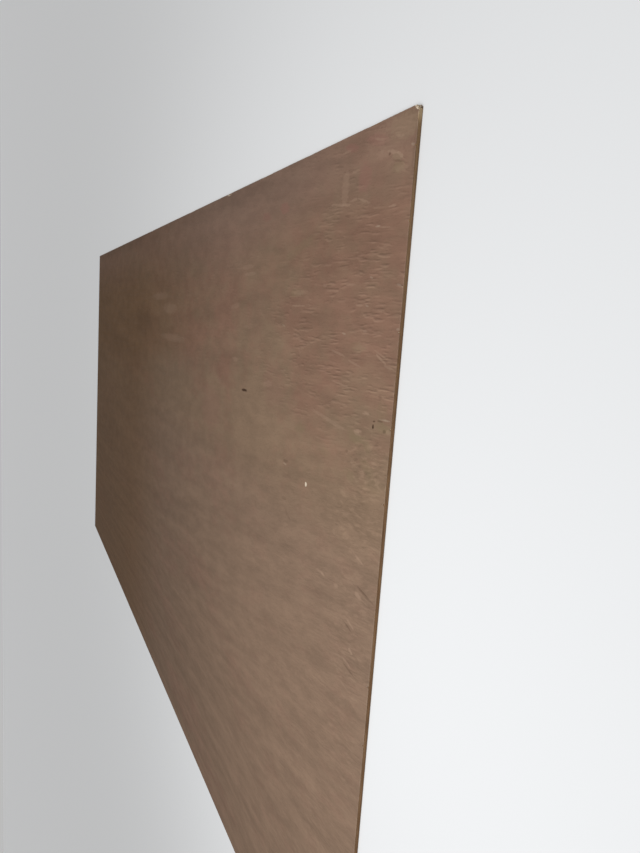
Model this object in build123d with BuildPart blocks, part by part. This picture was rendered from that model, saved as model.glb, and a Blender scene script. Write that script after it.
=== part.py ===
"""One sheet of three-ply lauan plywood, 8 ft by 4 ft, lying flat with its good face up.

X runs along the sheet and along the grain of both outer plies, Y runs across it, and Z goes up through
its thickness. The origin is in the middle of the underside. The short edge at low X and the long edge at
low Y meet at the corner that was knocked in handling. All sizes are in millimetres.
"""
import os

from build123d import *

# The sheet as it left the mill
sheet_length = 2440.0
sheet_width = 1220.0
face_ply = 0.6
core_ply = 4.0
back_ply = 0.6
sheet_thickness = back_ply + core_ply + face_ply
corner_radius = 1.2
arris = 0.2
outer_grain = Vector(1, 0)
core_grain = Vector(0, 1)

# The knocked corner: how far each ply is broken back, along the sheet and across it
face_break_along = 9.0
face_break_across = 7.0
core_break_along = 5.5
core_break_across = 4.5
back_break_along = 3.0
back_break_across = 2.5

# How far the broken front of a ply is set back at each of its points, along that ply's own grain
face_teeth = [0.0, 1.5, 0.3, 2.1, 0.9, 1.7, 0.4, 0.0]
core_teeth = [0.0, 0.8, 0.2, 1.1, 0.5, 0.0]
back_teeth = [0.0, 0.4, 0.0]

# Slips of face veneer torn out by the saw on the short edge: place from the knocked corner, width, reach
end_tears = [
    (13.0, 10.0, 1.4),
    (41.0, 1.8, 5.0),
    (118.0, 2.6, 3.0),
    (187.0, 1.6, 6.0),
    (236.0, 2.2, 4.0),
    (344.0, 3.0, 3.5),
    (431.0, 1.8, 6.5),
    (566.0, 2.8, 4.0),
    (655.0, 2.2, 5.0),
    (731.0, 1.8, 7.0),
    (904.0, 2.6, 4.5),
    (1087.0, 1.8, 6.5),
]

# Slivers of face veneer lost from the long edge: middle from the knocked corner, length, reach
side_slivers = [
    (92.0, 34.0, 1.2),
    (268.0, 22.0, 1.0),
    (431.0, 46.0, 1.5),
    (628.0, 20.0, 2.6),
    (905.0, 52.0, 1.3),
    (1340.0, 38.0, 1.6),
    (1866.0, 44.0, 1.4),
]

end_x = -sheet_length / 2
side_y = -sheet_width / 2
core_bottom = back_ply
face_bottom = back_ply + core_ply


def corner_break(along, across, teeth, grain):
    """Outline of what a ply has lost at the knocked corner.

    The broken front runs from the long edge to the short edge in equal steps, and each of its points is
    set back by its tooth along the grain. The outline is closed well outside the sheet.
    """
    front = []
    for step, set_back in enumerate(teeth):
        share = step / (len(teeth) - 1)
        front.append(
            (
                end_x + along * (1 - share) + set_back * grain.X,
                side_y + across * share + set_back * grain.Y,
            )
        )
    outside = [
        (end_x - along, side_y + across),
        (end_x - along, side_y - across),
        (end_x + along, side_y - across),
    ]
    return front + outside


def end_tear(place, width, reach):
    """Outline of a slip torn from the short edge: a wedge that runs to a point along the grain."""
    middle = side_y + place
    return [
        (end_x - width, middle - width / 2),
        (end_x, middle - width / 2),
        (end_x + reach * 0.6, middle - width / 4),
        (end_x + reach, middle + width / 8),
        (end_x + reach * 0.4, middle + width / 4),
        (end_x, middle + width / 2),
        (end_x - width, middle + width / 2),
    ]


def side_sliver(place, length, reach):
    """Outline of a sliver lost from the long edge: a long low hump with its steep end up-grain."""
    middle = end_x + place
    return [
        (middle - length / 2, side_y - reach),
        (middle - length / 2, side_y),
        (middle - length / 3, side_y + reach),
        (middle + length / 6, side_y + reach * 0.7),
        (middle + length / 2, side_y),
        (middle + length / 2, side_y - reach),
    ]


with BuildPart() as plywood_sheet:
    # The pressed and sawn board
    with BuildSketch():
        RectangleRounded(sheet_length, sheet_width, corner_radius)
    extrude(amount=sheet_thickness)

    # Both faces are sanded, which takes the sharpness off their edges
    chamfer(faces().filter_by(Axis.Z).edges(), length=arris)

    # The knocked corner, broken back ply by ply: the core's grain runs across the sheet
    with BuildSketch() as back_break:
        Polygon(*corner_break(back_break_along, back_break_across, back_teeth, outer_grain), align=None)
    extrude(amount=back_ply, mode=Mode.SUBTRACT)
    with BuildSketch(Plane.XY.offset(core_bottom)) as core_break:
        Polygon(*corner_break(core_break_along, core_break_across, core_teeth, core_grain), align=None)
    extrude(amount=core_ply, mode=Mode.SUBTRACT)
    with BuildSketch(Plane.XY.offset(face_bottom)) as face_break:
        Polygon(*corner_break(face_break_along, face_break_across, face_teeth, outer_grain), align=None)
    extrude(amount=face_ply, mode=Mode.SUBTRACT)

    # The face veneer torn along the short edge and the long edge, down to the core
    with BuildSketch(Plane.XY.offset(face_bottom)) as torn_veneer:
        for place, width, reach in end_tears:
            Polygon(*end_tear(place, width, reach), align=None)
        for place, length, reach in side_slivers:
            Polygon(*side_sliver(place, length, reach), align=None)
    extrude(amount=face_ply, mode=Mode.SUBTRACT)

plywood_sheet.part.label = "plywood_sheet"

os.makedirs("parts", exist_ok=True)
export_step(plywood_sheet.part, "parts/plywood_sheet.step")
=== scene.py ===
"""One sheet of three-ply lauan plywood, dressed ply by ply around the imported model.

The sheet lies flat with its good face up. X runs along it and along the grain of both outer plies, Y runs
across it, and Z goes up through its thickness. Every length is in metres.
"""

from functools import reduce
import math

import bpy
import numpy as np
from mathutils import Matrix, Vector


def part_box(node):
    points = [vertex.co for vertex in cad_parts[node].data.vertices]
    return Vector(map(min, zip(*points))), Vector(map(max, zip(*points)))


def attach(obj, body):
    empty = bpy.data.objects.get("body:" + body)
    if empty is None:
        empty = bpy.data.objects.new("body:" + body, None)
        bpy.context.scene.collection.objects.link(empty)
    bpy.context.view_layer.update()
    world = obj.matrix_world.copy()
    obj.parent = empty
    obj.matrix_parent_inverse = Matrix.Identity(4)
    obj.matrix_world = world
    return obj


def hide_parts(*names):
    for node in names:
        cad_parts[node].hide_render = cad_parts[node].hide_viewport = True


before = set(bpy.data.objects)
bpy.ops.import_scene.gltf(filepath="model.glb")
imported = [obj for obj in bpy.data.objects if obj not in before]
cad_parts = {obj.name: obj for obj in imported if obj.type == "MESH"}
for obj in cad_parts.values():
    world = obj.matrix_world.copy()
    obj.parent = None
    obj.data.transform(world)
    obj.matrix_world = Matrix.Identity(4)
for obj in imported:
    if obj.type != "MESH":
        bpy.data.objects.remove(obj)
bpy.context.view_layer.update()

bl_info = {
    "name": "Lauan plywood sheet",
    "version": (1, 0, 0),
    "blender": (4, 5, 0),
    "location": "View3D > Sidebar > Plywood",
    "description": "Builds the plies, torn fibres and studio of one thin plywood sheet",
    "category": "Add Mesh",
}

MM = 0.001
NODE = "plywood_sheet"
low_corner, high_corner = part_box(NODE)
sheet_length = high_corner.x - low_corner.x
sheet_width = high_corner.y - low_corner.y
sheet_thickness = high_corner.z

# The knocked corner: how far each ply is broken back along and across, its teeth, and its grain
face_break = (9.0 * MM, 7.0 * MM, np.array([0.0, 1.5, 0.3, 2.1, 0.9, 1.7, 0.4, 0.0]) * MM, (1, 0))
core_break = (5.5 * MM, 4.5 * MM, np.array([0.0, 0.8, 0.2, 1.1, 0.5, 0.0]) * MM, (0, 1))
back_break = (3.0 * MM, 2.5 * MM, np.array([0.0, 0.4, 0.0]) * MM, (1, 0))

# Slips torn out of the short edge's face veneer: place from the knocked corner, width, reach
end_tears = np.array([
    (13, 10, 1.4), (41, 1.8, 5), (118, 2.6, 3), (187, 1.6, 6), (236, 2.2, 4), (344, 3, 3.5),
    (431, 1.8, 6.5), (566, 2.8, 4), (655, 2.2, 5), (731, 1.8, 7), (904, 2.6, 4.5), (1087, 1.8, 6.5),
]) * MM

# Slivers lost from the long edge's face veneer: middle from the knocked corner, length, reach
side_slivers = np.array([
    (92, 34, 1.2), (268, 22, 1), (431, 46, 1.5), (628, 20, 2.6), (905, 52, 1.3), (1340, 38, 1.6),
    (1866, 44, 1.4),
]) * MM
no_loss = np.empty((0, 3))

# One small knot: its place from the knocked corner, its half sizes, and how far it lifts the lines of grain
knot_along, knot_across = 37 * MM, 50 * MM
knot_half_length, knot_half_width = 18 * MM, 12 * MM
knot_rise = 8 * MM

# Marks of handling on the face. Each is a millimetre place from the knocked corner, along and across, then
# half its length, half its width, its slope across per length along, and its strength from 0 to 1. The fresh
# edges, the flecked places and the tan zones below are given in the same way.
chips = [
    (210, 459, 3.7, 4.2, 0, 0.95), (13, 335.5, 14, 1.5, 0.05, 0.17), (66, 117, 7, 1.5, 0, 0.16),
    (289, 447, 8, 1.6, 0, 0.14), (5, 39.5, 5, 1.8, -0.2, 0.14), (326, 238, 8, 1.7, -0.2, 0.1),
    (70, 174.7, 5, 1.5, -0.2, 0.12), (76, 207.4, 5, 1.5, -0.2, 0.12), (128, 242.4, 6, 1.5, -0.1, 0.14),
    (9, 184.8, 7, 1.5, -0.2, 0.12), (4, 233, 4, 2.2, 0, 0.12), (628, 1.5, 14, 3, 0, 0.7),
]
rubs = [
    (6, 348, 5, 4, 0, 0.25), (96, 277.5, 24, 2, -0.2, 0.24), (142, 267.5, 30, 2, -0.14, 0.26),
    (34, 268, 16, 2.1, -0.42, 0.34), (16, 276, 14, 2, -0.16, 0.24), (38, 262, 18, 1.8, -0.3, 0.2),
    (127, 306.5, 30, 1.8, -0.08, 0.22), (154, 357, 64, 3.6, -0.118, 0.2),
    (128, 79.6, 13, 2.2, 0.05, 0.26), (103, 83.5, 19, 2.2, -0.27, 0.3), (162, 81, 38, 2.6, -0.125, 0.3),
    (153, 62, 12, 27, 0, 0.22), (36, 98, 10, 2, 0, 0.4), (50, 119.5, 24, 1.5, -0.11, 0.24),
    (45, 39.2, 13, 3.1, -0.22, 0.42), (29.5, 44.8, 8, 3, -0.53, 0.44), (36, 46.5, 12, 4.5, -0.2, 0.18),
    (68, 37.5, 16, 6.5, -0.1, 0.2), (75, 20, 12, 2.4, -0.24, 0.26), (33, 24.8, 10, 2, -0.2, 0.28),
    (25, 60, 16, 5, -0.1, 0.22), (0, 13, 1.8, 15, 0, 0.6), (154, 18, 14, 2.2, 0, 0.2),
    (130, 46, 12, 2.2, 0, 0.18), (164, 41, 14, 2, 0, 0.14), (40, 22, 80, 26, 0, 0.14),
    (36, 13, 44, 15, -0.2, 0.15), (272, 189, 34, 4.5, 0, 0.22), (279, 208, 30, 1.8, 0, 0.3),
    (120, 182, 14, 2.2, 0, 0.22), (95, 207, 12, 2, 0, 0.24), (75, 237, 7, 2.2, 0, 0.3),
    (58, 334.5, 12, 2, 0, 0.26), (74, 358, 11, 2.6, 0.1, 0.32), (148, 566, 16, 3, 0, 0.22),
    (382, 334, 28, 7, 0.1, 0.18), (548, 306, 20, 6.5, 0, 0.18), (565, 209, 38, 6, 0.1, 0.16),
    (504, 141.4, 40, 5, 0, 0.18), (492, 153.9, 40, 4, 0, 0.18), (488, 245, 30, 4, 0, 0.1),
    (649, 355, 24, 9, 0, 0.1), (1207, 184, 120, 13, 0, 0.2), (1085, 216, 90, 17, 0, 0.2),
    (1050, 289, 170, 12, 0, 0.2), (188, 155, 14, 2.2, 0, 0.16), (192, 181, 9, 3, 0, 0.2),
    (84, 258, 22, 6, 0, 0.12), (57, 333, 9, 2, -0.1, 0.22), (76, 361, 12, 3, -0.1, 0.24),
    (139, 566, 9, 2.4, -0.17, 0.34), (42, 557, 11, 4, -0.1, 0.36), (55, 600, 14, 2.4, -0.25, 0.3),
    (50, 633, 7, 3.6, -0.2, 0.36), (58, 652, 17, 2.4, -0.15, 0.28), (48, 512, 15, 2.4, -0.27, 0.28),
    (98, 567, 8, 3.4, 0, 0.26), (62, 52, 90, 50, 0, 0.07),
]
dark_marks = [
    (491, 357, 18, 3.2, 0.05, 0.9), (39.3, 346.8, 2.3, 3.4, 0, 0.88), (37.7, 340.3, 3.6, 1.3, 0.17, 0.6),
    (24, 338.2, 8, 1.3, 0.05, 0.36), (14, 348.5, 4, 3, 0, 0.28), (30, 266.5, 14, 1.4, -0.34, 0.14),
    (51.5, 40.2, 2.9, 2.8, 0, 0.34), (33, 50.8, 13, 2, -0.22, 0.24), (48, 659, 20, 1.8, -0.15, 0.26),
    (34, 547.5, 16, 1.6, -0.14, 0.3), (60, 606, 16, 1.8, -0.25, 0.24), (1420, 253, 150, 60, 0, 0.15),
    (760, 240, 80, 30, 0, 0.03), (142, 97, 9, 2.4, -0.1, 0.2), (138, 157.5, 30, 1.3, 0.05, 0.16),
    (98, 388, 5, 2.6, 0.2, 0.22), (288, 442, 11, 3, 0.1, 0.24), (286, 500, 11, 4, 0, 0.16),
    (268, 521, 15, 5, -0.45, 0.12), (25, 550, 27, 2, -0.12, 0.2), (29, 311, 5, 4, 0, 0.18),
    (105, 138, 62, 34, 0, 0.06), (0, 44, 7, 34, 0, 0.16), (210, 152, 70, 28, 0, 0.05),
    (190, 240, 90, 40, 0, 0.04), (220, 300, 70, 32, 0, 0.05),
]
olive_marks = [
    (17, 345, 21, 8.5, 0, 0.5), (30, 57.5, 16, 8, -0.1, 0.46), (36, 46, 13, 5, -0.2, 0.36),
    (90, 258, 22, 8, 0, 0.26), (285, 189, 34, 8, 0, 0.3), (75, 368, 34, 7, 0.1, 0.26),
    (244, 384, 24, 10, 0.1, 0.3), (30, 416, 34, 14, 0.1, 0.2), (280, 125, 60, 10, 0.25, 0.22),
    (20, 15, 46, 20, 0, 0.34), (80, 366.5, 24, 11, -0.2, 0.34), (22, 327, 14, 16, 0, 0.22),
    (49, 374, 10, 9, 0, 0.3), (47, 398, 20, 10, -0.2, 0.3), (87, 415, 18, 10, -0.2, 0.26),
    (157, 402, 20, 8, 0, 0.24),
]
rosy_marks = [
    (80, 19.5, 32, 9, -0.21, 0.55), (143, 15.5, 22, 6, -0.2, 0.5), (105, 57, 20, 22, -0.1, 0.55),
    (350, 61, 24, 11, -0.13, 0.5), (425, 66, 26, 9, -0.12, 0.35), (690, 415, 90, 60, 0, 0.25),
    (350, 335, 60, 45, 0, 0.2), (450, 210, 60, 70, 0, 0.12),
]

# Where the edges are freshly broken: at the knocked corner, and faintly along the short edge beside it
fresh_edges = [(0, 0, 11, 22, 0, 0.75), (0, 60, 11, 200, 0, 0.12)]

# Where short flecks of torn grain lie in the near end
flecked = [
    (44, 400, 66, 48, 0, 1), (60, 470, 90, 60, 0, 0.65), (48, 560, 70, 60, 0, 0.5),
    (56, 650, 80, 70, 0, 0.55), (60, 770, 80, 90, 0, 0.4), (70, 940, 90, 130, 0, 0.35),
]

# Broad zones where the veneer is tanner than round them
tan_zones = [
    (430, 270, 170, 230, 0, 0.75), (1080, 290, 210, 240, 0, 0.45), (70, 325, 150, 110, 0, 0.35),
    (250, 90, 260, 60, 0.1, 0.25), (720, 420, 300, 60, 0, 0.15), (800, 110, 420, 60, 0, 0.45),
    (1050, 390, 280, 90, 0, 0.45),
]


def srgb(red, green, blue):
    """Turns three 0 to 255 screen values into linear light, by the standard screen curve."""
    share = np.array([red, green, blue]) / 255
    linear = np.where(share <= 0.04045, share / 12.92, ((share + 0.055) / 1.055) ** 2.4)
    return tuple(float(value) for value in linear)


def setting(name, description, default, **kind):
    """A number that the user can set, or three of them where the default is three."""
    make = bpy.props.FloatVectorProperty if isinstance(default, tuple) else bpy.props.FloatProperty
    return make(name=name, description=description, default=default, **kind)


class SheetSizes(bpy.types.PropertyGroup):
    face_ply: setting("Face ply", "Thickness of the face veneer", 0.6 * MM, unit="LENGTH")
    back_ply: setting("Back ply", "Thickness of the back veneer", 0.6 * MM, unit="LENGTH")
    arris: setting("Arris", "How far sanding has eased the outer edges", 0.2 * MM, unit="LENGTH")
    corner_radius: setting("Corner radius", "Wear of the three sound corners", 1.2 * MM, unit="LENGTH")
    station: setting("Station", "Distance between the points of an edge", 1.6 * MM, unit="LENGTH")
    fuzz: setting("Saw fuzz", "How deep the saw has roughened the edges", 0.16 * MM, unit="LENGTH")
    rim: setting(
        "Rim", "Width of the band between the edge and the plain middle of a ply", 22.0 * MM, unit="LENGTH")
    corner_zone: setting(
        "Corner zone", "How far from a corner the points of the band are drawn together", 36.0 * MM,
        unit="LENGTH")


class SheetColours(bpy.types.PropertyGroup):
    face_pink: setting("Pinkish veneer", "The redder parts of the face", srgb(144, 112, 94), subtype="COLOR")
    face_tan: setting("Tan veneer", "The yellower parts of the face", srgb(142, 118, 97), subtype="COLOR")
    # Besides a greyer band across the middle of the width, this grey is a painted reflection of bluish
    # daylight along the chipped edge.
    face_grey: setting("Greyed veneer", "The dustier parts", srgb(142, 117, 102), subtype="COLOR")
    # Partly the browner veneer of the far half, partly painted shade: a little darker where less light
    # reaches.
    face_brown_and_shade: setting(
        "Brown veneer", "The browner far half of the face", srgb(131, 102, 76), subtype="COLOR")
    core_wood: setting("Core", "The sawn and weathered core", srgb(169, 133, 98), subtype="COLOR")
    fresh_wood: setting("Fresh wood", "Newly torn fibres", srgb(232, 216, 194), subtype="COLOR")
    # Rubbed streaks, and also the colour of the pale dashes, which are painted highlight in the open grain.
    rubbed_and_highlit_wood: setting(
        "Rubbed wood", "Pale open grain and rubbed streaks", srgb(184, 154, 132), subtype="COLOR")
    back_wood: setting("Back veneer", "The plainer veneer of the back", srgb(168, 138, 116), subtype="COLOR")
    dark_wood: setting("Bruised wood", "Pin holes and bruises", srgb(58, 36, 26), subtype="COLOR")
    rosy_wood: setting("Rosy wood", "Redder patches of the face", srgb(150, 109, 97), subtype="COLOR")
    olive_wood: setting("Weathered wood", "Greyed and greenish patches", srgb(138, 121, 94), subtype="COLOR")
    floor: setting("Floor", "The pale studio floor", srgb(196, 198, 200), subtype="COLOR")


class StudioPlace(bpy.types.PropertyGroup):
    eye: setting("Eye", "Where the camera stands", (-1.8263, -0.3746, 0.3961), subtype="TRANSLATION")
    aim: setting(
        "Aim", "The point of the face in the middle of the view", (-1.0422, -0.2400, 0.0052),
        subtype="TRANSLATION")
    roll: setting(
        "Roll", "Turn of the camera about its own line of sight", math.radians(90.3), subtype="ANGLE")
    lens: setting("Lens", "Focal length for a 36 mm long side", 27.43, unit="CAMERA")
    lamp: setting("Lamp", "Middle of the soft box", (-1.40, 0.06, 1.02), subtype="TRANSLATION")
    lamp_size: setting("Lamp size", "Side of the soft box", 1.0, unit="LENGTH")
    lamp_power: setting("Lamp power", "Power of the soft box", 9.75, unit="POWER")
    sky: setting("Sky", "Strength of the even light from all round", 0.29)
    backdrop: setting("Backdrop", "How pale the distance looks to the camera", 0.50)
    floor_glow: setting("Floor glow", "How much paler the floor looks to the camera than it is lit", 0.34)


def sizes():
    """The sheet's sizes as the user has set them."""
    return bpy.context.scene.sheet_sizes


def colours():
    """The sheet's colours as the user has set them."""
    return bpy.context.scene.sheet_colours


def rounded_noise(count, coarse, seed):
    """A closed wavy line from -1 to 1: random values at every coarse step, joined by cosine curves."""
    knots = max(int(count / coarse), 4)
    values = np.random.default_rng(seed).uniform(-1, 1, knots)
    place = np.arange(count) * knots / count
    before = place.astype(int)
    share = (1 - np.cos((place - before) * math.pi)) / 2
    return values[before % knots] * (1 - share) + values[(before + 1) % knots] * share


def stations(start, end, features=()):
    """Places along one side: even steps, and steps eight times as fine across each feature.

    A feature is its middle and its width.
    """
    step = sizes().station
    places = [np.linspace(start, end, int((end - start) / step) + 1)]
    for middle, width in features:
        places.append(np.arange(middle - width * 0.55, middle + width * 0.55, step / 8))
    return np.unique(np.concatenate(places).clip(start, end))


def tear_reach(places, tears):
    """How far the veneer is torn back at each place: the deepest of the straight-sided wedges."""
    reach = np.zeros_like(places)
    for middle, width, depth in tears:
        across = middle + width * np.array([-0.5, -0.25, 0.125, 0.25, 0.5])
        reach = np.maximum(reach, np.interp(places, across, depth * np.array([0, 0.6, 1, 0.4, 0])))
    return reach


def sliver_reach(places, slivers):
    """How far the veneer is lost at each place: long low humps, steep at their near end."""
    reach = np.zeros_like(places)
    for middle, length, depth in slivers:
        along = middle + length * np.array([-1 / 2, -1 / 3, 1 / 6, 1 / 2])
        reach = np.maximum(reach, np.interp(places, along, depth * np.array([0, 1, 0.7, 0])))
    return reach


def break_front(share, corner_break):
    """Points of a broken front, from the short edge at share 0 to the long edge at 1, and their set-back."""
    broken_along, broken_across, teeth, _ = corner_break
    front = np.column_stack([
        broken_along * share - sheet_length / 2,
        broken_across * (1 - share) - sheet_width / 2,
    ])
    return front, np.interp(1 - share, np.linspace(0, 1, len(teeth)), teeth)


def ply_outline(corner_break, tears=no_loss, slivers=no_loss):
    """Walks round a ply, anticlockwise from above.

    Gives the plain outline as points, the way inwards at each point, how far the real edge lies inwards, and
    the side that each point is on. The sides are straight: 0 is the long edge with the slivers, 1 the far
    end, 2 the other long edge and 3 the near end. Three corners are quarter circles that count with the
    ends, and the fourth is cut off by a straight front, side 4, whose points are set back along the grain.
    """
    half_x, half_y, radius = sheet_length / 2, sheet_width / 2, sizes().corner_radius
    broken_along, broken_across, _, grain = corner_break
    points, inwards, reach, side = [], [], [], []

    def add(xy, way, inset, number):
        points.append(xy)
        inwards.append(np.broadcast_to(way, xy.shape))
        reach.append(np.broadcast_to(inset, len(xy)))
        side.append(np.full(len(xy), number))

    def corner(sign_x, sign_y, first_angle):
        angle = first_angle + np.linspace(0, math.pi / 2, 8)[1:-1]
        turn = np.column_stack([np.cos(angle), np.sin(angle)])
        middle = np.array([sign_x * (half_x - radius), sign_y * (half_y - radius)])
        add(middle + radius * turn, -turn, 0.0, 1 if sign_x > 0 else 3)

    along = stations(broken_along, sheet_length - radius, slivers[:, :2])
    lost = sliver_reach(along, slivers)
    add(np.column_stack([along - half_x, np.full_like(along, -half_y)]), (0, 1), lost, 0)
    corner(1, -1, -math.pi / 2)
    across = stations(radius, sheet_width - radius)
    add(np.column_stack([np.full_like(across, half_x), across - half_y]), (-1, 0), 0.0, 1)
    corner(1, 1, 0)
    along = stations(radius, sheet_length - radius)[::-1]
    add(np.column_stack([along - half_x, np.full_like(along, half_y)]), (0, -1), 0.0, 2)
    corner(-1, 1, math.pi / 2)
    across = stations(broken_across, sheet_width - radius, tears[:, :2])[::-1]
    torn = tear_reach(across, tears)
    add(np.column_stack([np.full_like(across, -half_x), across - half_y]), (1, 0), torn, 3)
    front, set_back = break_front(np.linspace(0, 1, 60)[1:-1], corner_break)
    add(front, grain, set_back, 4)
    return np.concatenate(points), np.concatenate(inwards), np.concatenate(reach), np.concatenate(side)


def plain_middle(plain):
    """The inner edge of the rim: straight inwards from the sides, and drawn together near the corners.

    Along each axis, places in the corner zone are squeezed evenly, and the outermost ends a rim's width in.
    """
    zone, rim = sizes().corner_zone, sizes().rim
    inner = np.array([sheet_length / 2, sheet_width / 2]) - zone
    size = np.abs(plain)
    return np.sign(plain) * (np.minimum(size, inner) + np.maximum(size - inner, 0) * (zone - rim) / zone)


def ply_slab(name, z_low, z_high, outline, shown, fuzz, ease_low, ease_high, seed):
    """Makes one ply as a closed slab.

    Its edge is a profile carried round the outline: out from the plain middle of the underside, up the edge
    and back to the plain middle of the top. Each row of the profile is the outline moved inwards by its own
    inset, or the plain middle's edge. The two middles are fans from the centre.
    """
    plain, inwards, reach, side = outline
    count = len(plain)
    middle = plain_middle(plain)
    rough = [fuzz * np.abs(rounded_noise(count, coarse, seed + n)) for n, coarse in enumerate((3, 2, 4))]
    wear = np.abs(rounded_noise(count, 14, seed + 7)) ** 2
    arris = sizes().arris
    rows = [
        (middle, z_low),
        (plain + inwards * (reach + rough[0] + ease_low * arris)[:, None], z_low),
        (plain + inwards * (reach + rough[1])[:, None], z_low * 0.7 + z_high * 0.3),
        (plain + inwards * (reach + rough[2])[:, None], z_low * 0.25 + z_high * 0.75),
        (plain + inwards * (reach + rough[0] + ease_high * arris * (1 + wear))[:, None],
         z_high - ease_high * arris * 0.35 * wear),
        (middle, z_high),
    ]
    points = np.concatenate([np.column_stack([xy, np.broadcast_to(z, count)]) for xy, z in rows])
    points = np.concatenate([points, [(0, 0, z_low), (0, 0, z_high)]])
    bottom_centre, top_centre = len(points) - 2, len(points) - 1

    here = np.arange(count)
    after = (here + 1) % count
    walls = len(rows) - 1
    last = walls * count
    quads = np.concatenate([
        np.column_stack([first + here, first + after, first + count + after, first + count + here])
        for first in range(0, last, count)
    ])
    fans = np.concatenate([
        np.column_stack([after, here, np.full(count, bottom_centre)]),
        np.column_stack([last + here, last + after, np.full(count, top_centre)]),
    ])
    mesh = bpy.data.meshes.new(name)
    mesh.from_pydata(points.tolist(), [], quads.tolist() + fans.tolist())
    wall_row = np.repeat(np.arange(walls), count)
    face_row = np.concatenate([wall_row, np.zeros(count), np.full(count, walls - 1)])
    lay_out_map(mesh, points, np.tile(side, walls + 2), face_row, z_low, z_high, shown)
    return add_piece(name, mesh)


def add_piece(name, mesh):
    """Puts a mesh into the scene as an object at the origin."""
    piece = bpy.data.objects.new(name, mesh)
    bpy.context.scene.collection.objects.link(piece)
    return piece


def lay_out_map(mesh, points, face_side, face_row, z_low, z_high, shown):
    """Lays the ply's own map: a large field for what shows of the ply, and thin ones for the rest.

    Row 0 of the faces is the underside, the last row the top, and the rows between are the edge, which is
    cut into five strips, one for each side and one for the broken front. A field is its lowest place and its
    height, and the strips also have a step from one to the next.
    """
    large, thin, thin_strips = (0.070, 0.926), (0.058, 0.008), (0.003, 0.011, 0.008)
    top, bottom, edge = {
        "top": (large, thin, thin_strips),
        "bottom": (thin, large, thin_strips),
        "edge": ((0.80, 0.09), (0.90, 0.09), (0.005, 0.155, 0.145)),
    }[shown]
    corner_vertex = np.empty(len(mesh.loops), np.int32)
    mesh.loops.foreach_get("vertex_index", corner_vertex)
    totals = np.empty(len(mesh.polygons), np.int32)
    mesh.polygons.foreach_get("loop_total", totals)
    row = np.repeat(face_row, totals)
    on_side = np.repeat(face_side, totals)
    x, y, z = points[corner_vertex].T
    margin, front_room = 0.004, 40 * MM
    is_top, is_bottom = row == face_row.max(), row == 0
    share_across = y / sheet_width + 0.5
    u_along = margin + (1 - 2 * margin) * (x / sheet_length + 0.5)
    u_across = margin + (1 - 2 * margin) * share_across
    u_front = margin + 0.5 * (x + sheet_length / 2) / front_room
    u_edge = np.select([on_side == 4, on_side % 2 == 0], [u_front, u_along], u_across)
    low, step, height = edge
    v_edge = low + step * on_side + height * (z - z_low) / (z_high - z_low)
    v_top = top[0] + top[1] * share_across
    v_bottom = bottom[0] + bottom[1] * share_across
    u = np.where(is_top | is_bottom, u_along, u_edge)
    v = np.select([is_top, is_bottom], [v_top, v_bottom], v_edge)
    layer = mesh.uv_layers.new(name="OFBake")
    layer.data.foreach_set("uv", np.column_stack([u, v]).astype(np.float32).ravel())


def splinters(name, root, way, length, width, depth, lift):
    """Makes all splinters as one mesh.

    Each is a diamond section carried along a line that rises with the square of the way, and the section
    shrinks towards the tip with the square root of what is left. Every value is an array with a row for each
    splinter.
    """
    share = np.linspace(0, 1, 5)
    line = root[:, None] + way[:, None] * (length[:, None] * share)[..., None]
    line[..., 2] += lift[:, None] * share ** 2
    shrink = np.sqrt(1.02 - share)
    sideways = np.column_stack([-way[:, 1], way[:, 0], np.zeros(len(way))])
    across = sideways[:, None] * (width[:, None] * shrink)[..., None] / 2
    up = np.array([0, 0, 1]) * (depth[:, None] * shrink)[..., None] / 2
    points = np.stack([line - across, line - up, line + across, line + up], axis=2)
    ring = np.arange(4)
    point_count = len(share) * len(ring)
    start = np.arange(len(root)) * point_count
    first = start[:, None, None] + np.arange(0, point_count - 4, 4)[None, :, None]
    here, after = first + ring, first + (ring + 1) % 4
    sides = np.stack([here, here + 4, after + 4, after], axis=-1).reshape(-1, 4)
    roots = start[:, None] + ring
    tips = roots[:, ::-1] + point_count - 4
    mesh = bpy.data.meshes.new(name)
    mesh.from_pydata(points.reshape(-1, 3).tolist(), [], np.concatenate([sides, roots, tips]).tolist())
    return add_piece(name, mesh)


def corner_splinters(rng, count, corner_break, z_low, z_high):
    """Roots, ways, lengths and lifts of splinters that stand out of a broken front along its grain.

    Their lengths and leans are cut short where they would leave the sheet's box.
    """
    front, set_back = break_front(rng.uniform(0.05, 0.95, count), corner_break)
    grain = np.array(corner_break[3])
    front = front + grain * (set_back + 0.3 * MM)[:, None]
    low, clearance = np.array([-sheet_length / 2, -sheet_width / 2]), 0.4 * MM
    room = ((front - low) * grain).sum(1) - clearance
    root = np.column_stack([front, rng.uniform(z_low, z_high, count)])
    length = np.minimum(rng.uniform(1.2, 7.0, count) * MM, room * 0.92)
    side_room = ((front - low) * grain[::-1]).sum(1) - clearance
    lean = np.maximum(rng.uniform(-0.22, 0.22, count), -side_room / length)
    way = np.column_stack([lean[:, None] * grain[::-1] - grain, np.zeros(count)])
    return root, way, length, rng.uniform(-0.25, 0.35, count) * MM


def tear_splinters(rng, tears):
    """Roots, ways, lengths and lifts of two splinters that lie in each torn slip."""
    middle, width, depth = np.repeat(tears, 2, axis=0).T
    count = len(middle)
    root = np.column_stack([
        depth * rng.uniform(0.65, 0.9, count) - sheet_length / 2,
        middle + width * rng.uniform(-0.12, 0.16, count) - sheet_width / 2,
        np.full(count, sheet_thickness - sizes().face_ply * 0.55),
    ])
    way = np.column_stack([np.full(count, -1.0), rng.uniform(-0.05, 0.05, count), np.zeros(count)])
    return root, way, depth * rng.uniform(0.3, 0.6, count), rng.uniform(0.0, 0.15, count) * MM


def finish_piece(piece, material, replaced=True):
    """Gives the piece its material and puts it on the sheet's one body."""
    piece.data.materials.append(material)
    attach(piece, "root")
    if replaced:
        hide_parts(NODE)


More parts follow.
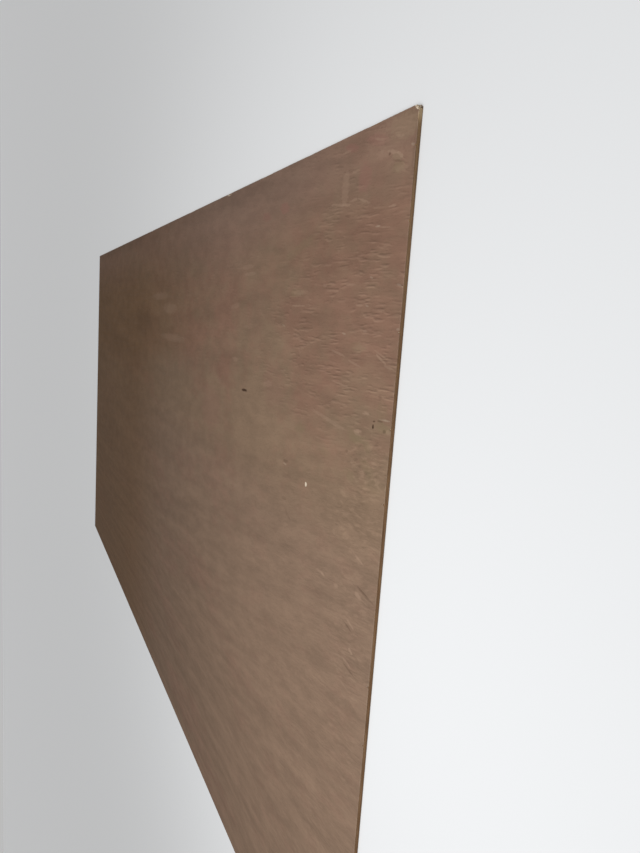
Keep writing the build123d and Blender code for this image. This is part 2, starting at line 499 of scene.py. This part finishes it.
class Wiring:
    """Short calls for the node types that the materials are made of.

    Where sockets are named in a call, underscores in the names stand for spaces.
    """

    def __init__(self, tree):
        self.tree = tree

    def put(self, socket, value):
        """Links an output to the socket, or sets the socket to a plain value."""
        if isinstance(value, bpy.types.NodeSocket):
            self.tree.links.new(value, socket)
        else:
            socket.default_value = value

    def fill(self, node, **values):
        """Puts a value into each named input of a node, and gives the node's outputs."""
        for label, value in values.items():
            self.put(node.inputs[label.replace("_", " ")], value)
        return node.outputs

    def node(self, kind, *values, **choices):
        """Makes a node, makes its choices and puts the values into its first inputs."""
        node = self.tree.nodes.new("ShaderNode" + kind)
        for label, choice in choices.items():
            setattr(node, label, choice)
        for socket, value in zip(node.inputs, values):
            self.put(socket, value)
        return node

    def math(self, operation, *values):
        return self.node("Math", *values, operation=operation).outputs[0]

    def product(self, *values):
        """All the values multiplied together."""
        return reduce(lambda first, second: self.math("MULTIPLY", first, second), values)

    def total(self, *values):
        """All the values added together."""
        return reduce(lambda first, second: self.math("ADD", first, second), values)

    def less(self, first, second):
        """The first value less the second."""
        return self.math("SUBTRACT", first, second)

    def ramp(self, value, from_low, from_high, to_low=0.0, to_high=1.0):
        """A smooth step from to_low at from_low to to_high at from_high."""
        node = self.node("MapRange", value, from_low, from_high, to_low, to_high,
                         interpolation_type="SMOOTHSTEP")
        return node.outputs["Result"]

    def split(self, vector):
        return self.node("SeparateXYZ", vector).outputs

    def join(self, x, y, z):
        return self.node("CombineXYZ", x, y, z).outputs[0]

    def shift(self, vector, *step):
        """Moves the place by a step along each axis."""
        return self.node("VectorMath", vector, step, operation="ADD").outputs[0]

    def stretch(self, vector, *size):
        """Divides the place by a size along each axis, so that a pattern of unit cells gets that size."""
        if any(isinstance(value, bpy.types.NodeSocket) for value in size):
            size = self.join(*size)
        return self.node("VectorMath", vector, size, operation="DIVIDE").outputs[0]

    def noise(self, vector, detail=2.0, roughness=0.5):
        """Noise in unit cells."""
        node = self.node("TexNoise")
        return self.fill(node, Vector=vector, Scale=1.0, Detail=detail, Roughness=roughness)["Fac"]

    def mix(self, share, first, second, blend="MIX"):
        """The first colour with a share of the second."""
        node = self.node("Mix", data_type="RGBA", blend_type=blend)
        for number, value in ((0, share), (6, first), (7, second)):
            if not isinstance(value, (bpy.types.NodeSocket, float)):
                value = (*value, 1.0)
            self.put(node.inputs[number], value)
        return node.outputs[2]

    def shade(self, colour, tone):
        """The colour made lighter or darker by a number that varies over the surface."""
        return self.mix(1.0, colour, self.join(tone, tone, tone), blend="MULTIPLY")

    def bump(self, height, distance, strength):
        return self.fill(self.node("Bump"), Strength=strength, Distance=distance, Height=height)[0]

    def group(self, name, maker, **values):
        """Places a node group with its own values; the group is made the first time it is asked for."""
        tree = bpy.data.node_groups.get(name) or maker(name)
        return self.fill(self.node("Group", node_tree=tree), **values)


def new_socket(tree, label, direction, kind="NodeSocketFloat"):
    """Adds a socket to a node group."""
    return tree.interface.new_socket(label.replace("_", " "), in_out=direction, socket_type=kind)


def start_group(name, **defaults):
    """Starts a shader node group that takes a place and numbers; gives its wiring and what comes in."""
    tree = bpy.data.node_groups.new(name, "ShaderNodeTree")
    new_socket(tree, "Vector", "INPUT", "NodeSocketVector")
    for label, default in defaults.items():
        new_socket(tree, label, "INPUT").default_value = default
    return Wiring(tree), tree.nodes.new("NodeGroupInput").outputs


def end_group(w, **values):
    """Puts the named values out of a node group and gives its tree."""
    for label in values:
        new_socket(w.tree, label, "OUTPUT")
    w.fill(w.tree.nodes.new("NodeGroupOutput"), **values)
    return w.tree


def grain_line_group(name):
    """Where across the sheet each point's line of grain belongs: it fans, wanders and meets a knot.

    The grain's slope is the fan's slope times the sine of the distance from the fan's middle line, and it
    dies away with the distance from the sheet's near end. Lines of that slope keep the same half-tangent
    times an exponential, which gives each point the label of its line. A knot lifts the lines by a round
    hump, and slow noise bends them.
    """
    w, given = start_group(
        name, Fan_Slope=0.24, Fan_Middle=-0.375, Fan_Period=1.9, Fan_Reach=1.0, Wander=0.02,
        Knot_Along=0.0, Knot_Across=0.0, Knot_Rise=0.0)
    place, reach, period = given["Vector"], given["Fan Reach"], given["Fan Period"]
    x, y, _ = w.split(place)
    from_end = w.total(x, sheet_length / 2)
    fading = w.math("EXPONENT", w.product(w.math("DIVIDE", from_end, reach), -1.0))
    run = w.product(reach, w.less(1.0, fading))
    turns = w.math("DIVIDE", w.less(y, given["Fan Middle"]), period)
    whole = w.math("ROUND", turns)
    half_tangent = w.math("TANGENT", w.product(w.less(turns, whole), math.pi))
    rate = w.math("DIVIDE", w.product(given["Fan Slope"], -2 * math.pi), period)
    shrunk = w.product(half_tangent, w.math("EXPONENT", w.product(rate, run)))
    label = w.total(whole, w.math("DIVIDE", w.math("ARCTANGENT", shrunk), math.pi))

    knot_x = w.math("DIVIDE", w.less(x, given["Knot Along"]), knot_half_length)
    knot_y = w.math("DIVIDE", w.less(y, given["Knot Across"]), knot_half_width)
    squares = w.total(w.product(knot_x, knot_x), w.product(knot_y, knot_y))
    hump = w.product(given["Knot Rise"], w.math("EXPONENT", w.product(squares, -1.0)))

    slow = w.less(w.noise(w.stretch(place, 1.0, 0.30, 1.0), detail=1.0), 0.5)
    quick = w.less(w.noise(w.stretch(place, 0.22, 0.09, 1.0), detail=1.5), 0.5)
    bend = w.product(w.total(w.product(slow, 2.4), w.product(quick, 0.4)), given["Wander"])
    return end_group(w, Line=w.total(w.product(label, period), hump, bend))


def veneer_grain_group(name):
    """Rotary-cut lauan, as values from 0 to 1 over the surface, on a place that follows the grain.

    Bands, clouds, streaks and pores are noise stretched along the grain, each smaller than the one before.
    A dash is where a stretched noise is high, and its shade is the same noise read a little further across,
    so that each pale dash, a painted highlight, lies beside a dark one, a painted shade, as open grain looks
    in raking light. Clusters, which are noise that is stretched little, say where the dashes are strong.
    """
    w, given = start_group(name, Dash_Length=0.023, Dash_Width=0.0029)
    place, long, wide = given["Vector"], given["Dash Length"], given["Dash Width"]
    bands = w.noise(w.stretch(place, 0.55, 0.040, 0.5), roughness=0.55)
    clouds = w.noise(w.stretch(place, 0.062, 0.019, 0.1), detail=3.0, roughness=0.6)
    streaks = w.noise(w.stretch(place, 0.14, 0.0046, 0.1), roughness=0.6)
    pale = w.noise(w.stretch(place, long, wide, 0.01), detail=1.0, roughness=0.35)
    further = w.shift(place, 0.0012, 0.0018, 0.0)
    dark = w.noise(w.stretch(further, long, wide, 0.01), detail=1.0, roughness=0.35)
    pores = w.noise(w.stretch(place, 0.0060, 0.00036, 0.002), detail=1.0)
    patches = w.noise(w.stretch(place, 0.11, 0.060, 0.1))
    clusters = w.noise(w.stretch(place, 0.066, 0.028, 1.0), detail=1.5)
    strong = w.ramp(clusters, 0.40, 0.60, 0.15, 1.0)
    return end_group(
        w, Bands=w.ramp(bands, 0.30, 0.70), Clouds=w.ramp(clouds, 0.30, 0.70),
        Streaks=w.ramp(streaks, 0.28, 0.72), Pale_Dashes=w.product(w.ramp(pale, 0.50, 0.74), strong),
        Dark_Dashes=w.product(w.ramp(dark, 0.50, 0.74), strong), Pores=w.ramp(pores, 0.42, 0.28),
        Patches=w.ramp(patches, 0.34, 0.66), Relief=pale)


def mark_group(name):
    """A soft-edged straight mark: 1 on its middle line, falling to 0 at its ends and sides.

    The place is turned to the mark's own line, and the ellipse with its half length and half width is
    faded smoothly. Unevenness is added to the ellipse, so that the outline is ragged.
    """
    w, given = start_group(
        name, Unevenness=0.0, Along=0.0, Across=0.0, Half_Length=0.01, Half_Width=0.001, Slope=0.0)
    x, y, _ = w.split(given["Vector"])
    dx = w.less(x, given["Along"])
    dy = w.less(y, given["Across"])
    lined_up = w.less(dy, w.product(dx, given["Slope"]))
    long_share = w.math("POWER", w.math("DIVIDE", dx, given["Half Length"]), 2.0)
    wide_share = w.math("POWER", w.math("DIVIDE", lined_up, given["Half Width"]), 2.0)
    outside = w.total(long_share, wide_share, given["Unevenness"])
    return end_group(w, Mask=w.ramp(outside, 1.0, 0.10))


def edge_wear_group(name):
    """1 at the sheet's outline, fading to 0 inwards over a ragged reach that noise makes uneven."""
    w, given = start_group(name, Reach=0.006)
    x, y, _ = w.split(given["Vector"])
    from_end = w.less(sheet_length / 2, w.math("ABSOLUTE", x))
    from_side = w.less(sheet_width / 2, w.math("ABSOLUTE", y))
    nearest = w.math("MINIMUM", from_end, from_side)
    ragged = w.noise(w.stretch(given["Vector"], 0.012, 0.006, 0.01), detail=3.0)
    reach = w.product(given["Reach"], w.ramp(ragged, 0.35, 0.7, 0.1, 1.6))
    return end_group(w, Mask=w.ramp(w.math("DIVIDE", nearest, reach), 1.0, 0.0))


def follow_grain(w, place, **values):
    """The place with its line of grain as Y, so that a pattern on it runs with the grain."""
    x, _, z = w.split(place)
    return w.join(x, w.group("Grain lines", grain_line_group, Vector=place, **values)["Line"], z)


def mark_masks(w, from_corner, uneven, marks):
    """The mask of each mark, from 0 to its strength."""
    for along, across, half_length, half_width, slope, strength in marks:
        mask = w.group(
            "Mark", mark_group, Vector=from_corner, Unevenness=uneven, Along=along * MM, Across=across * MM,
            Half_Length=half_length * MM, Half_Width=half_width * MM, Slope=slope)["Mask"]
        yield w.product(mask, strength)


def paint_marks(w, colour, from_corner, uneven, marks, tint):
    """Lays marks of one tint over a colour, one after the other."""
    for mask in mark_masks(w, from_corner, uneven, marks):
        colour = w.mix(mask, colour, tint)
    return colour


def wood_material(name):
    """A material with a Principled shader, its wiring and the place on the sheet in metres."""
    material = bpy.data.materials.new(name)
    material.use_nodes = True
    w = Wiring(material.node_tree)
    shader = w.tree.nodes["Principled BSDF"]
    w.fill(shader, Specular_IOR_Level=0.05)
    return material, w, shader, w.node("TexCoord").outputs["Object"]


def face_tint(w, patches, place, lines, from_corner):
    """The face veneer's tint: pinkish, with tan zones, greyer by the chipped edge and browner far away.

    The share of tan is the sum of the zones, of broad and small blotches of noise, and of a ramp across. The
    greyed and the brown veneer are then mixed in by ramps along and across. The grey strip by the chipped
    edge is a painted reflection of bluish daylight. The brown far half is partly the veneer's own tint and
    partly painted shade, a little darker where less light reaches.
    """
    along, across, _ = w.split(from_corner)
    blotches = w.noise(w.stretch(lines, 0.034, 0.017, 0.1))
    broad = w.noise(w.stretch(place, 0.42, 0.12, 1.0))
    tan = w.total(
        w.ramp(across, 0.26, 0.48, -0.05, 0.85), w.ramp(blotches, 0.3, 0.7, -0.2, 0.2),
        w.product(w.ramp(broad, 0.35, 0.65, -0.5, 0.5), w.ramp(along, 0.2, 0.7)))
    zones = mark_masks(w, from_corner, w.ramp(broad, 0.3, 0.7, -0.5, 0.5), tan_zones)
    tan = w.total(w.math("MULTIPLY_ADD", patches, 0.35, tan), *zones)
    tint = w.mix(tan, colours().face_pink, colours().face_tan)
    # Painted reflection: a strip along the chipped long edge is greyed as bluish daylight would grey it.
    painted_reflection_depth = w.ramp(along, 0.2, 0.6, 0.125, 0.20)
    painted_reflection = w.product(
        w.ramp(across, painted_reflection_depth, 0.020, 0.0, 0.8), w.ramp(along, 0.05, 0.35, 0.4, 1.0),
        w.ramp(along, 0.7, 1.5, 1.0, 0.5))
    grey = w.math("MAXIMUM", painted_reflection, w.ramp(across, 0.42, 0.56, 0.0, 0.35))
    tint = w.mix(grey, tint, colours().face_grey)
    # The brown far half is partly the veneer's own tint and partly painted shade of the far end.
    brown_start = w.ramp(across, 0.28, 0.38, 0.55, 1.00)
    brown = w.product(
        w.ramp(along, brown_start, 1.60), w.ramp(across, 0.02, 0.20, 0.3, 1.0),
        w.ramp(across, 0.33, 0.45, 1.0, 0.75))
    return w.mix(brown, tint, colours().face_brown_and_shade)


def face_material():
    """Bare sanded lauan: soft bands, clouds, and clustered dashes of open grain, strongest at the near end.

    The tone that the tint is multiplied by is a product of factors near 1: first a painted shade along the
    chipped long edge, then one for each value of the grain.
    The marks are then laid over it, the broad faint ones first.
    """
    material, w, shader, place = wood_material("Lauan face veneer")
    lines = follow_grain(
        w, place, Wander=0.015, Knot_Along=knot_along - sheet_length / 2,
        Knot_Across=knot_across - sheet_width / 2, Knot_Rise=knot_rise)
    seen = w.group("Veneer grain", veneer_grain_group, Vector=lines)
    from_corner = w.shift(place, sheet_length / 2, sheet_width / 2, 0.0)
    along, across, z = w.split(from_corner)

    open_end = w.ramp(across, 0.12, 0.24, 0.32, 0.52)
    open_grain = w.product(
        w.ramp(along, 0.14, open_end, 1.0, 0.2), w.ramp(across, 0.29, 0.40, 1.0, 0.25),
        w.ramp(across, 0.06, 0.15, 0.5, 1.0))
    uneven = w.ramp(w.noise(w.stretch(place, 0.006, 0.003, 0.01), detail=1.0), 0.3, 0.7, -0.22, 0.22)
    fleck_room = w.product(w.ramp(across, 0.37, 0.47, 0.0, 0.24), w.ramp(along, 0.15, 0.60, 1.0, 0.2))
    for mask in mark_masks(w, from_corner, uneven, flecked):
        fleck_room = w.math("MAXIMUM", mask, fleck_room)
    turned = w.less(w.noise(w.stretch(place, 0.045, 0.020, 1.0), detail=1.0), 0.5)
    line_x, line_y, line_z = w.split(lines)
    fleck_place = w.join(line_x, w.math("MULTIPLY_ADD", turned, 0.014, line_y), line_z)
    fleck = w.noise(w.stretch(fleck_place, 0.0155, 0.0036, 0.01), detail=1.5)
    even = w.ramp(along, 0.6, 1.5, 1.0, 0.8)
    # Pale dashes are painted highlight in the open grain, joined by pale flecks; the dark dashes below are
    # painted shade.
    pale = w.math(
        "MAXIMUM", w.product(seen["Pale Dashes"], open_grain, 0.17),
        w.product(w.ramp(fleck, 0.50, 0.70), fleck_room, 0.15))
    tone = w.product(
        # Painted shade: a strip along the chipped long edge is darker, more so away from the near end.
        w.ramp(across, 0.045, 0.012, 1.0, w.ramp(along, 0.15, 0.45, 1.0, 0.92)),
        w.math("MULTIPLY_ADD", seen["Bands"], 0.120, 0.927),
        w.total(1.0, w.product(w.less(seen["Clouds"], 0.5), even, 0.150)),
        w.total(1.0, w.product(w.less(seen["Streaks"], 0.5), even, 0.036)),
        w.less(1.0, w.product(seen["Dark Dashes"], open_grain, 0.25)),
        w.less(1.02, w.product(seen["Pores"], 0.16)),
        w.less(1.0, w.product(w.ramp(fleck, 0.46, 0.32), fleck_room, 0.17)),
        w.total(1.0, pale))
    colour = w.shade(face_tint(w, seen["Patches"], place, lines, from_corner), tone)
    colour = paint_marks(w, colour, from_corner, uneven, rosy_marks, colours().rosy_wood)
    colour = paint_marks(w, colour, from_corner, uneven, olive_marks, colours().olive_wood)
    # Painted highlight of the pale dashes, together with the pale flecks.
    colour = w.mix(pale, colour, colours().rubbed_and_highlit_wood)
    colour = paint_marks(w, colour, from_corner, uneven, rubs, colours().rubbed_and_highlit_wood)
    colour = paint_marks(w, colour, from_corner, uneven, dark_marks, colours().dark_wood)
    colour = paint_marks(w, colour, from_corner, uneven, chips, colours().fresh_wood)
    worn = w.group("Edge wear", edge_wear_group, Vector=place, Reach=0.0030)["Mask"]
    colour = w.mix(w.product(worn, 0.05), colour, colours().fresh_wood)
    sawn_side = srgb(140, 106, 82)
    side_tint = paint_marks(w, sawn_side, from_corner, uneven, fresh_edges, colours().fresh_wood)
    in_thickness = w.ramp(z, sheet_thickness - 0.16 * MM, sheet_thickness - 0.30 * MM)
    relief = w.less(seen["Relief"], w.product(seen["Pores"], 0.2))
    w.fill(
        shader, Base_Color=w.mix(w.product(in_thickness, 0.75), colour, side_tint),
        Roughness=w.math("MULTIPLY_ADD", seen["Streaks"], 0.10, 0.70),
        Normal=w.bump(w.product(relief, open_grain), 0.25 * MM, 0.5))
    return material


def core_material():
    """The cross-grained core: fibres run along Y, sawn edges are dirty, and the knocked corner is fresh.
    Low down, its edge is painted darker as shade.
    """
    dark_fibre, pale_growth = srgb(128, 97, 70), srgb(190, 156, 120)
    soil_and_shade, freshly_broken = srgb(100, 72, 52), srgb(214, 188, 150)
    material, w, shader, place = wood_material("Lauan core")
    fibres = w.noise(w.stretch(place, 0.0009, 0.030, 0.0006), detail=3.0, roughness=0.6)
    growth = w.noise(w.stretch(place, 0.006, 0.25, 0.0016))
    soil = w.noise(w.stretch(place, 0.05, 0.04, 0.004), detail=3.0)
    colour = w.mix(w.ramp(fibres, 0.32, 0.68), dark_fibre, colours().core_wood)
    colour = w.mix(w.product(w.ramp(growth, 0.52, 0.7), 0.6), colour, pale_growth)
    colour = w.mix(w.product(w.ramp(soil, 0.45, 0.68), 0.35), colour, soil_and_shade)
    height = w.split(place)[2]
    # Painted shade: darker towards the bottom of the core's edge, in the soil colour.
    colour = w.mix(w.ramp(height, 3.4 * MM, 0.6 * MM, 0.0, 0.4), colour, soil_and_shade)
    from_corner = w.shift(place, sheet_length / 2, sheet_width / 2, 0.0)
    uneven = w.ramp(fibres, 0.3, 0.7, -0.3, 0.3)
    colour = paint_marks(w, colour, from_corner, uneven, fresh_edges, freshly_broken)
    w.fill(shader, Base_Color=colour, Roughness=0.8, Normal=w.bump(fibres, 0.3 * MM, 0.7))
    return material


def back_material():
    """The plainer back veneer: paler, with stronger bands and longer dashes."""
    yellower, soil_and_shade = srgb(160, 132, 106), srgb(120, 96, 76)
    material, w, shader, place = wood_material("Lauan back veneer")
    lines = follow_grain(w, place, Fan_Middle=0.20, Fan_Slope=0.10, Fan_Period=1.3, Wander=0.045)
    seen = w.group("Veneer grain", veneer_grain_group, Vector=lines, Dash_Length=0.050, Dash_Width=0.0036)
    base = w.mix(seen["Patches"], colours().back_wood, yellower)
    tone = w.product(
        w.math("MULTIPLY_ADD", seen["Bands"], 0.22, 0.86),
        w.math("MULTIPLY_ADD", seen["Streaks"], 0.12, 0.94),
        # Dark and pale dashes: painted shade and painted highlight of the open grain.
        w.less(1.0, w.product(seen["Dark Dashes"], 0.16)),
        w.total(1.0, w.product(seen["Pale Dashes"], 0.10)))
    worn = w.group("Edge wear", edge_wear_group, Vector=place, Reach=0.005)["Mask"]
    w.fill(
        shader, Base_Color=w.mix(w.product(worn, 0.3), w.shade(base, tone), soil_and_shade),
        Roughness=w.math("MULTIPLY_ADD", seen["Streaks"], 0.12, 0.66),
        Normal=w.bump(seen["Relief"], 0.5 * MM, 0.6))
    return material


def fibre_material():
    """Freshly torn fibres: pale, with a brown tinge along some of them."""
    tinged = srgb(176, 142, 112)
    material, w, shader, place = wood_material("Torn fibres")
    tinge = w.noise(w.stretch(place, 0.006, 0.0008, 0.0008))
    colour = w.mix(w.ramp(tinge, 0.50, 0.72), colours().fresh_wood, tinged)
    w.fill(shader, Base_Color=colour, Roughness=0.75)
    return material


class MakeFacePly(bpy.types.Operator):
    """Build the face veneer with its torn ends, lost slivers and knocked corner"""

    bl_idname = "plywood.make_face_ply"
    bl_label = "Face ply"

    def execute(self, context):
        outline = ply_outline(face_break, end_tears, side_slivers)
        piece = ply_slab("face_ply", sheet_thickness - sizes().face_ply, sheet_thickness, outline, "top",
                         sizes().fuzz, 0, 1, seed=11)
        finish_piece(piece, face_material())
        return {"FINISHED"}


class MakeCorePly(bpy.types.Operator):
    """Build the cross-grained core, a little roughened where the saw cut its ends"""

    bl_idname = "plywood.make_core_ply"
    bl_label = "Core ply"

    def execute(self, context):
        outline = ply_outline(core_break)
        piece = ply_slab("core_ply", sizes().back_ply, sheet_thickness - sizes().face_ply, outline, "edge",
                         sizes().fuzz * 1.4, 0, 0, seed=23)
        finish_piece(piece, core_material())
        return {"FINISHED"}


class MakeBackPly(bpy.types.Operator):
    """Build the back veneer, which the sheet lies on"""

    bl_idname = "plywood.make_back_ply"
    bl_label = "Back ply"

    def execute(self, context):
        outline = ply_outline(back_break)
        piece = ply_slab("back_ply", 0.0, sizes().back_ply, outline, "bottom", sizes().fuzz, 1, 0, seed=37)
        finish_piece(piece, back_material())
        return {"FINISHED"}


class MakeTornFibres(bpy.types.Operator):
    """Build the pale splinters in the knocked corner and in the torn slips"""

    bl_idname = "plywood.make_torn_fibres"
    bl_label = "Torn fibres"

    def execute(self, context):
        rng = np.random.default_rng(5)
        core_top = sheet_thickness - sizes().face_ply
        bunches = [
            corner_splinters(rng, 90, face_break, core_top + 0.10 * MM, sheet_thickness - 0.50 * MM),
            corner_splinters(rng, 50, core_break, sizes().back_ply + 0.5 * MM, core_top - 0.5 * MM),
            tear_splinters(rng, end_tears),
        ]
        root, way, length, lift = (np.concatenate(parts) for parts in zip(*bunches))
        width = rng.uniform(0.16, 0.55, len(root)) * MM
        depth = rng.uniform(0.10, 0.24, len(root)) * MM
        piece = splinters("torn_fibres", root, way, length, width, depth, lift)
        finish_piece(piece, fibre_material(), replaced=False)
        return {"FINISHED"}


class MakeStudio(bpy.types.Operator):
    """Set the pale floor, the soft light and the camera"""

    bl_idname = "plywood.make_studio"
    bl_label = "Studio"

    def execute(self, context):
        studio = context.scene.studio_place
        make_floor(studio)
        make_light(studio)
        make_camera(studio)
        context.scene.view_settings.view_transform = "Standard"
        return {"FINISHED"}


def seen_ray(w):
    """1 for a ray from the camera, and for one that it sees in gloss or through glass, and otherwise 0."""
    path = w.node("LightPath").outputs
    return w.math("MAXIMUM", path["Is Camera Ray"],
                  w.math("MAXIMUM", path["Is Glossy Ray"], path["Is Transmission Ray"]))


def make_floor(studio):
    """A square far larger than the sheet, just under it, that looks paler to the camera than it is lit."""
    half = 400.0
    corners = [(-half, -half, 0), (half, -half, 0), (half, half, 0), (-half, half, 0)]
    mesh = bpy.data.meshes.new("floor")
    mesh.from_pydata(corners, [], [(0, 1, 2, 3)])
    floor = add_piece("floor", mesh)
    floor.location.z = -0.05 * MM
    material = bpy.data.materials.new("Pale floor")
    material.use_nodes = True
    w = Wiring(material.node_tree)
    w.fill(
        w.tree.nodes["Principled BSDF"], Base_Color=(*colours().floor, 1), Roughness=0.9,
        Specular_IOR_Level=0.1, Emission_Color=(1, 1, 1, 1),
        Emission_Strength=w.product(seen_ray(w), studio.floor_glow))
    mesh.materials.append(material)


def make_light(studio):
    """One soft box above the near end, and even light from all round, which looks pale to the camera."""
    lamp_data = bpy.data.lights.new("soft_box", "AREA")
    lamp_data.shape = "SQUARE"
    lamp_data.size = studio.lamp_size
    lamp_data.energy = studio.lamp_power
    lamp = bpy.data.objects.new("soft_box", lamp_data)
    lamp.location = studio.lamp
    aim = Vector((studio.aim[0], studio.aim[1], 0))
    lamp.rotation_euler = (aim - Vector(studio.lamp)).to_track_quat("-Z", "Y").to_euler()
    bpy.context.scene.collection.objects.link(lamp)
    world = bpy.data.worlds.new("studio_sky")
    world.use_nodes = True
    w = Wiring(world.node_tree)
    paler = studio.backdrop - studio.sky
    w.fill(
        w.tree.nodes["Background"], Color=(1, 1, 1, 1),
        Strength=w.math("MULTIPLY_ADD", seen_ray(w), paler, studio.sky))
    bpy.context.scene.world = world


def make_camera(studio):
    """The camera looks from the eye to the aim, and is then turned about that line by the roll."""
    camera_data = bpy.data.cameras.new("camera")
    camera_data.lens = studio.lens
    camera_data.sensor_width = 36.0
    camera_data.clip_start = 0.01
    camera_data.clip_end = 2000.0
    camera = bpy.data.objects.new("camera", camera_data)
    forward = (Vector(studio.aim) - Vector(studio.eye)).normalized()
    level_right = forward.cross(Vector((0, 0, 1))).normalized()
    level_up = level_right.cross(forward)
    up = level_up * math.cos(studio.roll) + level_right * math.sin(studio.roll)
    right = forward.cross(up)
    turn = Matrix((right, up, -forward)).transposed()
    camera.matrix_world = Matrix.Translation(Vector(studio.eye)) @ turn.to_4x4()
    bpy.context.scene.collection.objects.link(camera)
    bpy.context.scene.camera = camera


class PlywoodPanel(bpy.types.Panel):
    """Lists the sheet's pieces and their settings"""

    bl_idname = "VIEW3D_PT_plywood"
    bl_label = "Plywood sheet"
    bl_space_type = "VIEW_3D"
    bl_region_type = "UI"
    bl_category = "Plywood"

    def draw(self, context):
        for group in (context.scene.sheet_sizes, context.scene.sheet_colours, context.scene.studio_place):
            for label in group.__annotations__:
                self.layout.prop(group, label)
        for operator in operators:
            self.layout.operator(operator.bl_idname)


operators = (MakeFacePly, MakeCorePly, MakeBackPly, MakeTornFibres, MakeStudio)
groups = {"sheet_sizes": SheetSizes, "sheet_colours": SheetColours, "studio_place": StudioPlace}


def register():
    for kind in (*groups.values(), *operators, PlywoodPanel):
        bpy.utils.register_class(kind)
    for label, kind in groups.items():
        setattr(bpy.types.Scene, label, bpy.props.PointerProperty(type=kind))


def unregister():
    for label in groups:
        delattr(bpy.types.Scene, label)
    for kind in (PlywoodPanel, *operators, *groups.values()):
        bpy.utils.unregister_class(kind)


def main():
    register()
    bpy.ops.plywood.make_face_ply()
    bpy.ops.plywood.make_core_ply()
    bpy.ops.plywood.make_back_ply()
    bpy.ops.plywood.make_torn_fibres()
    bpy.ops.plywood.make_studio()


if __name__ == "__main__":
    main()
